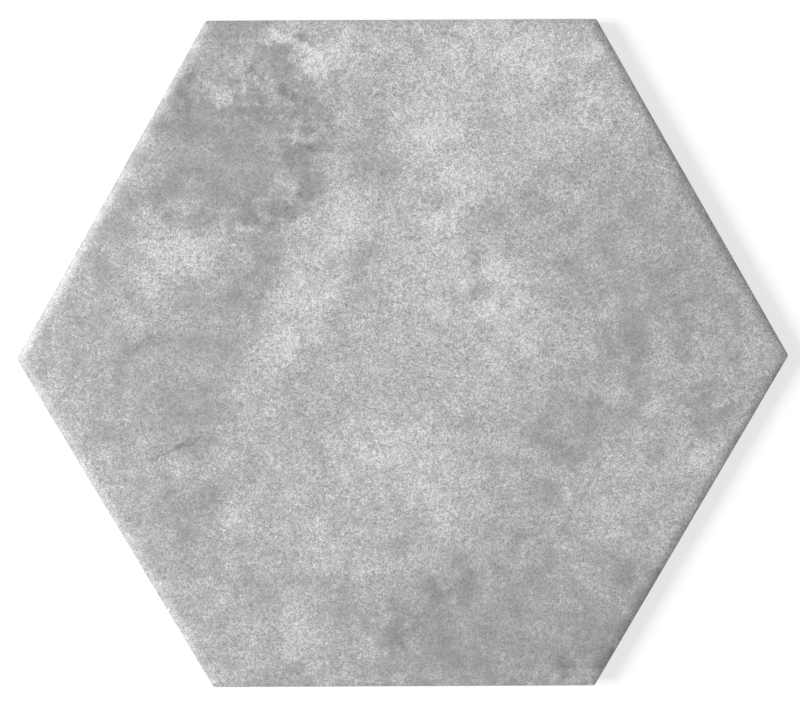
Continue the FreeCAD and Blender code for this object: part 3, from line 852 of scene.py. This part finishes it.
def glazed_porcelain(look):
    """The tile's one material: a matt cement-look glaze over a plain fired body."""
    material = bpy.data.materials.new("glazed_porcelain")
    material.use_nodes = True
    tree = material.node_tree
    tree.nodes.clear()
    place = vectors(
        tree, "SCALE", tree.nodes.new("ShaderNodeTexCoord").outputs["Object"], scale=1.0 / MM)
    x, y, height = split_xyz(tree, place)
    flat = joined_xyz(tree, x, y, 0.0)

    # The clouds that the mesh keeps, with the fine part of their torn borders and of the mottling
    shade = maths(tree, "MULTIPLY", kept(tree, "print_shade"), look.cloud_contrast)
    frayed = noise_at(tree, flat, 0.75, 3.0, 0.65, flat=True)
    shade = maths(tree, "MULTIPLY_ADD", maths(tree, "MULTIPLY", frayed, kept(tree, "print_border")), look.fray_strength, shade)
    mottle = maths(tree, "MULTIPLY", noise_at(tree, flat, 0.40, 2.0, 0.62, flat=True), look.mottle_strength)
    shade = maths(tree, "MULTIPLY_ADD", mottle, smooth_step(tree, shade, -0.11, -0.02, 0.35, 1.0), shade)
    wander = maths(tree, "MULTIPLY", noise_at(tree, flat, 0.12, 4.0, 0.6, flat=True), 7.0)
    hairline = hairline_group()
    for start, end, width, amount in HAIRLINES:
        start, end = Vector(start + (0,)), Vector(end + (0,))
        axis = (end - start).normalized()
        shade = use(tree, hairline, {
            "Place": flat, "Wander": wander, "Along": axis * 2.0 / (end - start).length,
            "Across": Vector((-axis.y, axis.x, 0.0)), "Middle": (start + end) / 2.0, "Width": width,
            "Amount": amount, "Shade": shade}).outputs[0]
    level = shade

    # Grain: strong where the print is pale, nearly gone where it is dark and smooth
    fine = noise_at(tree, place, 1.75, 1.0, 0.6)
    coarse = noise_at(tree, place, 0.55, 1.0, 0.5)
    grain = maths(tree, "MULTIPLY_ADD", coarse, 0.36, fine)
    vigour = smooth_step(tree, level, -0.12, 0.035, 0.50, 1.11)
    fleck_noise = noise_at(tree, flat, 0.42, 2.0, 0.55, flat=True)
    flecks = maths(tree, "MULTIPLY", smooth_step(tree, fleck_noise, 0.06, 0.20), kept(tree, "print_flecks"))
    level = maths(tree, "MULTIPLY_ADD", flecks, look.fleck_strength, level)
    speckled = maths(tree, "MULTIPLY_ADD", maths(tree, "MULTIPLY", grain, vigour), look.grain_strength, level)
    shade = maths(tree, "MULTIPLY_ADD", speckled, 2.5, 0.5)
    ramp = tree.nodes.new("ShaderNodeValToRGB")
    ramp.color_ramp.elements[0].color = look.deep_grey
    ramp.color_ramp.elements[1].color = look.chalk
    for stop, colour in ((0.25, look.slate), (0.5, look.cement), (0.75, look.pale_grey)):
        ramp.color_ramp.elements.new(stop).color = colour
    feed(tree, ramp.inputs[0], shade)
    glaze = ramp.outputs[0]
    tints = split_xyz(tree, kept(tree, "print_tint", "Vector"))
    for share, tint in zip(tints, (look.warm_tint, look.rosy_tint, look.blue_tint)):
        glaze = mixed_colour(tree, share, glaze, tint, "MULTIPLY")

    # The fired body below the glaze, with mineral specks and pale kiln wash on the ribs
    body_noise = noise_at(tree, place, 0.5, 4.0, 0.6)
    specks = smooth_step(tree, noise_at(tree, place, 1.1, 2.0, 0.5), 0.14, 0.22)
    body = mixed_colour(tree, smooth_step(tree, body_noise, -0.2, 0.2), look.body, look.body_pale)
    body = mixed_colour(tree, maths(tree, "MULTIPLY", specks, 0.5), body, look.body_speck)
    wash_noise = noise_at(tree, flat, 0.12, 4.0, 0.65, flat=True)
    wash_here = maths(tree, "MULTIPLY", smooth_step(tree, wash_noise, -0.05, 0.12),
                      smooth_step(tree, height, 0.35, 0.1))
    body = mixed_colour(tree, maths(tree, "MULTIPLY", wash_here, 0.6), body, look.kiln_wash)
    glaze_foot = maths(tree, "MULTIPLY_ADD", noise_at(tree, place, 0.25, 4.0, 0.6), 2.4, height)
    glazed = smooth_step(tree, glaze_foot, look.glaze_foot_height / MM - 0.25, look.glaze_foot_height / MM + 0.25)

    colour = mixed_colour(tree, glazed, body, glaze)
    glaze_rough = maths(tree, "MULTIPLY_ADD", grain, 0.25, look.glaze_roughness)
    rough = put(tree, "ShaderNodeMix", {0: glazed, 2: 0.82, 3: glaze_rough}, data_type="FLOAT").outputs[0]

    rise = maths(tree, "MULTIPLY", grain, 0.012 * MM)
    rise = maths(tree, "MULTIPLY_ADD", noise_at(tree, place, 0.22, 4.0, 0.6), 0.03 * MM, rise)
    rise = maths(tree, "MULTIPLY_ADD", glazed, 0.06 * MM, rise)
    rise = maths(tree, "MULTIPLY_ADD", body_noise, maths(tree, "MULTIPLY", maths(tree, "SUBTRACT", 1.0, glazed), 0.12 * MM), rise)
    bump = put(tree, "ShaderNodeBump", {"Strength": 1.0, "Distance": 1.0, "Height": rise})
    shader = put(tree, "ShaderNodeBsdfPrincipled", {
        "Base Color": colour, "Roughness": rough, "IOR": 1.55, "Normal": bump.outputs[0]})
    output = tree.nodes.new("ShaderNodeOutputMaterial")
    tree.links.new(shader.outputs[0], output.inputs[0])
    return material


def studio_floor_material(stage, across):
    """A white floor that a camera sees as white paper, with the tile's shadow kept on it.
    It is clear from below, and below the tile itself, so that the back can be looked at."""
    material = bpy.data.materials.new("studio_floor")
    material.use_nodes = True
    tree = material.node_tree
    tree.nodes.clear()
    path = tree.nodes.new("ShaderNodeLightPath").outputs
    seen = maths(tree, "MAXIMUM", path["Is Camera Ray"],
                 maths(tree, "MAXIMUM", path["Is Glossy Ray"], path["Is Transmission Ray"]))
    paper = put(tree, "ShaderNodeBsdfDiffuse", {"Color": stage.floor_colour})
    shaded = put(tree, "ShaderNodeBsdfDiffuse", {"Color": stage.floor_shadow_colour})
    white = put(tree, "ShaderNodeEmission", {"Color": (1.0, 1.0, 1.0, 1.0), "Strength": stage.floor_white})
    sight = put(tree, "ShaderNodeAddShader", {0: shaded.outputs[0], 1: white.outputs[0]})
    both = put(tree, "ShaderNodeMixShader", {0: seen, 1: paper.outputs[0], 2: sight.outputs[0]})
    place = tree.nodes.new("ShaderNodeTexCoord").outputs["Object"]
    reach = 0.0
    for turn in (30.0, 90.0, 150.0):
        square_to_side = Vector((math.cos(math.radians(turn)), math.sin(math.radians(turn)), 0.0))
        off = maths(tree, "ABSOLUTE", vectors(tree, "DOT_PRODUCT", place, square_to_side, out="Value"))
        reach = maths(tree, "MAXIMUM", off, reach)
    below_tile = maths(tree, "LESS_THAN", reach, across / 2.0 - 1.2 * MM)
    from_below = tree.nodes.new("ShaderNodeNewGeometry").outputs["Backfacing"]
    clear = put(tree, "ShaderNodeMixShader", {
        0: maths(tree, "MAXIMUM", below_tile, from_below), 1: both.outputs[0],
        2: tree.nodes.new("ShaderNodeBsdfTransparent").outputs[0]})
    output = tree.nodes.new("ShaderNodeOutputMaterial")
    tree.links.new(clear.outputs[0], output.inputs[0])
    return material


def studio_air(stage):
    """White air round the stage. It gives an even light, and a slanting one from below that only the back gets."""
    world = bpy.data.worlds.new("studio_air")
    world.use_nodes = True
    tree = world.node_tree
    along, across, up = split_xyz(tree, tree.nodes.new("ShaderNodeTexCoord").outputs["Generated"])
    slant = smooth_step(tree, maths(tree, "ADD", along, across), -0.2, 1.2, 0.25, 1.0)
    under = maths(tree, "MULTIPLY", slant, stage.under_strength)
    strength = put(tree, "ShaderNodeMix", {
        0: maths(tree, "LESS_THAN", up, 0.0), 2: stage.fill_strength, 3: under}, data_type="FLOAT").outputs[0]
    camera_ray = tree.nodes.new("ShaderNodeLightPath").outputs["Is Camera Ray"]
    strength = put(tree, "ShaderNodeMix", {0: camera_ray, 2: strength, 3: 1.0}, data_type="FLOAT").outputs[0]
    feed(tree, tree.nodes["Background"].inputs["Strength"], strength)
    feed(tree, tree.nodes["Background"].inputs["Color"], (1.0, 1.0, 1.0, 1.0))
    return world


# What a user may change

def length(name, description, default, **limits):
    """A length in metres."""
    return bpy.props.FloatProperty(
        name=name, description=description, default=default, subtype="DISTANCE", unit="LENGTH",
        precision=5, min=0.0, **limits)


def colour(name, description, default):
    """A colour with its alpha."""
    return bpy.props.FloatVectorProperty(
        name=name, description=description, default=tuple(default) + (1.0,), size=4, subtype="COLOR", min=0.0, max=1.0)


class TileSizes(bpy.types.PropertyGroup):
    """The sizes of the pressed tile"""
    across: length("Across", "Distance between two opposite sides", HIGHEST[1] - LOWEST[1])
    thickness: length("Thickness", "Height of the face above the ribs of the back", HIGHEST[2] - LOWEST[2])
    corner_radius: length("Corner Radius", "Rounding of the six corners in plan", 1.2 * MM)
    arris_width: length("Arris Width", "How far the soft arris reaches in over the face", 5.2 * MM)
    arris_drop: length("Arris Drop", "How far the arris falls at the side", 1.2 * MM)
    arris_fullness: bpy.props.FloatProperty(
        name="Arris Fullness", description="2 is a parabola, and more keeps the fall nearer to the side",
        default=2.6, min=1.0, max=4.0)
    arris_rim: length("Arris Rim", "Rounding where the arris meets the side", 0.4 * MM)
    land_height: length("Land Height", "Height of the upright band below the arris", 3.6 * MM)
    wall_draft: bpy.props.FloatProperty(
        name="Wall Draft", description="Lean of the lower side towards the back",
        default=math.radians(5.0), subtype="ANGLE", unit="ROTATION")
    foot_bevel: length("Foot Bevel", "Bevel round the back", 0.8 * MM)
    rim_width: length("Rim Width", "Plain rim round the pockets of the back", 9.6 * MM)
    pocket_pitch: length("Pocket Pitch", "Distance between the middles of two pockets", 22.0 * MM)
    rib_width: length("Rib Width", "Width of the ribs between the pockets", 3.0 * MM)
    pocket_depth: length("Pocket Depth", "Depth of the pockets", 0.8 * MM)
    pocket_draft: bpy.props.FloatProperty(
        name="Pocket Draft", description="Lean of the pockets' walls",
        default=math.radians(32.0), subtype="ANGLE", unit="ROTATION")
    edge_softness: length("Edge Softness", "Rounding of the foot's edges and the pockets' lips", 0.25 * MM)
    face_relief: length("Face Relief", "Height of the slow waves of the face", 0.09 * MM)
    side_relief: length("Side Relief", "How far the pressed edge wanders", 0.12 * MM)
    tear_strength: bpy.props.FloatProperty(
        name="Tear Strength", description="How torn the borders of the print's clouds are", default=1.3, min=0.0)
    broad_wander: length("Broad Wander", "How far the clouds of the print wander slowly", 5.0 * MM)
    fine_wander: length("Fine Wander", "How far their borders wander", 7.0 * MM)
    drift: bpy.props.FloatProperty(
        name="Drift", description="Slow change of shade over the face", default=0.04, min=0.0)
    mottle: bpy.props.FloatProperty(
        name="Mottle", description="Change of shade over a centimetre", default=0.12, min=0.0)
    side_divisions: bpy.props.IntProperty(
        name="Side Divisions", description="Divisions of each side of the hexagon", default=128, min=8, max=160)
    corner_divisions: bpy.props.IntProperty(
        name="Corner Divisions", description="Divisions of each rounded corner", default=5, min=2, max=12)
    arris_divisions: bpy.props.IntProperty(
        name="Arris Divisions", description="Divisions of the arris", default=12, min=3, max=20)
    seed: bpy.props.IntProperty(name="Seed", description="Fixes the waves of the face and edge", default=7, min=0)


class GlazeLook(bpy.types.PropertyGroup):
    """The colours of the glaze and the fired body"""
    deep_grey: colour("Deep Grey", "Darkest grey of the print", (0.212, 0.213, 0.215))
    slate: colour("Slate", "Grey of the dark clouds", (0.326, 0.326, 0.328))
    cement: colour("Cement", "Main grey of the print", (0.457, 0.455, 0.457))
    pale_grey: colour("Pale Grey", "Grey of the pale clouds", (0.615, 0.612, 0.612))
    chalk: colour("Chalk", "Palest specks", (0.807, 0.804, 0.803))
    warm_tint: colour("Warm Tint", "Tint of the warm places", (1.0, 0.994, 0.962))
    rosy_tint: colour("Rosy Tint", "Tint of the rosy places", (1.0, 0.972, 0.980))
    blue_tint: colour("Blue Tint", "Tint of the bluish places", (0.958, 0.966, 1.0))
    body: colour("Body", "Fired body below the glaze", (0.36, 0.335, 0.30))
    body_pale: colour("Pale Body", "Paler grains of the body", (0.47, 0.445, 0.405))
    body_speck: colour("Body Speck", "Mineral specks of the body", (0.13, 0.115, 0.10))
    kiln_wash: colour("Kiln Wash", "Pale wash on the ribs of the back", (0.66, 0.64, 0.60))
    cloud_contrast: bpy.props.FloatProperty(
        name="Cloud Contrast", description="How far the clouds differ from the main grey", default=1.08, min=0.0)
    fray_strength: bpy.props.FloatProperty(
        name="Fray Strength", description="Fine tearing along the borders of the clouds", default=1.6, min=0.0)
    fleck_strength: bpy.props.FloatProperty(
        name="Fleck Strength", description="How pale the flecks are", default=0.10, min=0.0)
    mottle_strength: bpy.props.FloatProperty(
        name="Mottle Strength", description="Change of shade over a few millimetres", default=0.05, min=0.0)
    grain_strength: bpy.props.FloatProperty(
        name="Grain Strength", description="Strength of the fine speckle", default=0.57, min=0.0)
    glaze_roughness: bpy.props.FloatProperty(
        name="Glaze Roughness", description="Roughness of the matt glaze", default=0.45, min=0.0, max=1.0, subtype="FACTOR")
    glaze_foot_height: length("Glaze Foot Height", "Where the glaze ends on the side, above the back", 5.6 * MM)


class StudioStage(bpy.types.PropertyGroup):
    """The floor, the light and the camera"""
    floor_size: length("Floor Size", "Width of the square floor", 6.0)
    floor_colour: colour("Floor Colour", "White of the floor", (0.86, 0.86, 0.86))
    floor_shadow_colour: colour(
        "Floor Shadow Colour", "Part of the white that a shadow takes from the floor", (0.34, 0.34, 0.34))
    floor_white: bpy.props.FloatProperty(
        name="Floor White", description="Part of the white that stays in a shadow, where 1 is white", default=0.72, min=0.0)
    key_size: length("Key Size", "Width of the square soft light", 1.65)
    key_distance: length("Key Distance", "Distance of the soft light from the tile", 4.0)
    key_tilt: bpy.props.FloatProperty(
        name="Key Tilt", description="Angle of the soft light from straight above",
        default=math.radians(53.0), subtype="ANGLE", unit="ROTATION")
    key_bearing: bpy.props.FloatProperty(
        name="Key Bearing", description="Direction that the soft light comes from, from +X",
        default=math.radians(178.5), subtype="ANGLE", unit="ROTATION")
    key_power: bpy.props.FloatProperty(
        name="Key Power", description="Power of the soft light", default=226.0, min=0.0, unit="POWER")
    fill_strength: bpy.props.FloatProperty(
        name="Fill Strength", description="Even light from all round", default=0.2, min=0.0)
    under_strength: bpy.props.FloatProperty(
        name="Under Strength", description="Light from below, which only the back of the tile gets", default=1.2, min=0.0)
    focal_length: bpy.props.FloatProperty(
        name="Focal Length", description="Focal length of the lens in millimetres", default=84.4, min=1.0,
        subtype="DISTANCE_CAMERA")
    camera_distance: length("Camera Distance", "Distance of the camera from the point it looks at", 0.7)
    camera_tilt: bpy.props.FloatProperty(
        name="Camera Tilt", description="Angle of the camera from straight above, towards +Y",
        default=math.radians(4.05), subtype="ANGLE", unit="ROTATION")
    camera_roll: bpy.props.FloatProperty(
        name="Camera Roll", description="Turn of the camera about its own line of sight",
        default=math.radians(-0.27), subtype="ANGLE", unit="ROTATION")
    aim_x: bpy.props.FloatProperty(
        name="Aim X", description="Where the camera looks, along X", default=-0.94 * MM, subtype="DISTANCE", unit="LENGTH")
    aim_y: bpy.props.FloatProperty(
        name="Aim Y", description="Where the camera looks, along Y", default=1.30 * MM, subtype="DISTANCE", unit="LENGTH")


# What makes the pieces

class OBJECT_OT_pressed_tile(bpy.types.Operator):
    """Make the pressed and glazed tile"""
    bl_idname = "object.pressed_tile"
    bl_label = "Pressed Tile"

    def execute(self, context):
        sizes = context.scene.tile_sizes
        values = {
            "Across": sizes.across, "Thickness": sizes.thickness, "Corner Radius": sizes.corner_radius,
            "Arris Width": sizes.arris_width, "Arris Drop": sizes.arris_drop, "Arris Fullness": sizes.arris_fullness,
            "Arris Rim": sizes.arris_rim, "Land Height": sizes.land_height,
            "Wall Draft": sizes.wall_draft, "Foot Bevel": sizes.foot_bevel, "Rim Width": sizes.rim_width,
            "Pocket Pitch": sizes.pocket_pitch, "Rib Width": sizes.rib_width, "Pocket Depth": sizes.pocket_depth,
            "Pocket Draft": sizes.pocket_draft, "Edge Softness": sizes.edge_softness,
            "Face Relief": sizes.face_relief, "Side Relief": sizes.side_relief,
            "Tear Strength": sizes.tear_strength, "Broad Wander": sizes.broad_wander,
            "Fine Wander": sizes.fine_wander, "Drift": sizes.drift, "Mottle": sizes.mottle,
            "Side Divisions": sizes.side_divisions, "Corner Divisions": sizes.corner_divisions,
            "Arris Divisions": sizes.arris_divisions, "Seed": sizes.seed,
            "Material": glazed_porcelain(context.scene.glaze_look)}
        tile = made_by(tile_tree(), "pressed_tile", values)
        if not tile.data.polygons:
            raise RuntimeError("The tile came out empty")
        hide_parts(NODE)
        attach(tile, "root")
        return {"FINISHED"}


class OBJECT_OT_studio_stage(bpy.types.Operator):
    """Make the floor, the soft light, the even light and the camera"""
    bl_idname = "object.studio_stage"
    bl_label = "Studio Stage"

    def execute(self, context):
        stage = context.scene.studio_stage
        scene = context.scene
        scene.view_settings.view_transform = "Standard"

        # The floor lies a hair below the tile, so that the two never share a plane
        half = stage.floor_size / 2.0
        level = -0.02 * MM
        corners = [(-half, -half, level), (half, -half, level), (half, half, level), (-half, half, level)]
        mesh = bpy.data.meshes.new("studio_floor")
        mesh.from_pydata(corners, [], [(0, 1, 2, 3)])
        mesh.materials.append(studio_floor_material(stage, scene.tile_sizes.across))
        floor = bpy.data.objects.new("studio_floor", mesh)
        scene.collection.objects.link(floor)

        scene.world = studio_air(stage)

        towards = Vector((
            math.sin(stage.key_tilt) * math.cos(stage.key_bearing),
            math.sin(stage.key_tilt) * math.sin(stage.key_bearing),
            math.cos(stage.key_tilt)))
        light = bpy.data.lights.new("soft_key", "AREA")
        light.size = stage.key_size
        light.energy = stage.key_power
        lamp = bpy.data.objects.new("soft_key", light)
        lamp.matrix_world = (
            Matrix.Translation(towards * stage.key_distance) @ towards.to_track_quat("Z", "Y").to_matrix().to_4x4())
        scene.collection.objects.link(lamp)

        lens = bpy.data.cameras.new("photo_camera")
        lens.lens = stage.focal_length
        lens.sensor_width = 36.0
        lens.clip_end = 20.0
        camera = bpy.data.objects.new("photo_camera", lens)
        camera.matrix_world = (
            Matrix.Translation((stage.aim_x, stage.aim_y, HIGHEST[2])) @ Matrix.Rotation(-stage.camera_tilt, 4, "X")
            @ Matrix.Rotation(stage.camera_roll, 4, "Z") @ Matrix.Translation((0.0, 0.0, stage.camera_distance)))
        scene.collection.objects.link(camera)
        scene.camera = camera
        return {"FINISHED"}


class VIEW3D_PT_floor_tile(bpy.types.Panel):
    """Lists what makes the tile and its studio"""
    bl_idname = "VIEW3D_PT_floor_tile"
    bl_label = "Floor Tile"
    bl_space_type = "VIEW_3D"
    bl_region_type = "UI"
    bl_category = "Floor Tile"

    def draw(self, context):
        for group, operator in (
                (context.scene.tile_sizes, None),
                (context.scene.glaze_look, OBJECT_OT_pressed_tile.bl_idname),
                (context.scene.studio_stage, OBJECT_OT_studio_stage.bl_idname)):
            box = self.layout.box()
            for name in group.__annotations__:
                box.prop(group, name)
            if operator:
                box.operator(operator)


CLASSES = (TileSizes, GlazeLook, StudioStage, OBJECT_OT_pressed_tile, OBJECT_OT_studio_stage, VIEW3D_PT_floor_tile)


def register():
    for cls in CLASSES:
        bpy.utils.register_class(cls)
    bpy.types.Scene.tile_sizes = bpy.props.PointerProperty(type=TileSizes)
    bpy.types.Scene.glaze_look = bpy.props.PointerProperty(type=GlazeLook)
    bpy.types.Scene.studio_stage = bpy.props.PointerProperty(type=StudioStage)


def unregister():
    del bpy.types.Scene.studio_stage
    del bpy.types.Scene.glaze_look
    del bpy.types.Scene.tile_sizes
    for cls in reversed(CLASSES):
        bpy.utils.unregister_class(cls)


def main():
    """Makes the tile and its studio."""
    register()
    bpy.ops.object.pressed_tile()
    bpy.ops.object.studio_stage()


if __name__ == "__main__":
    main()
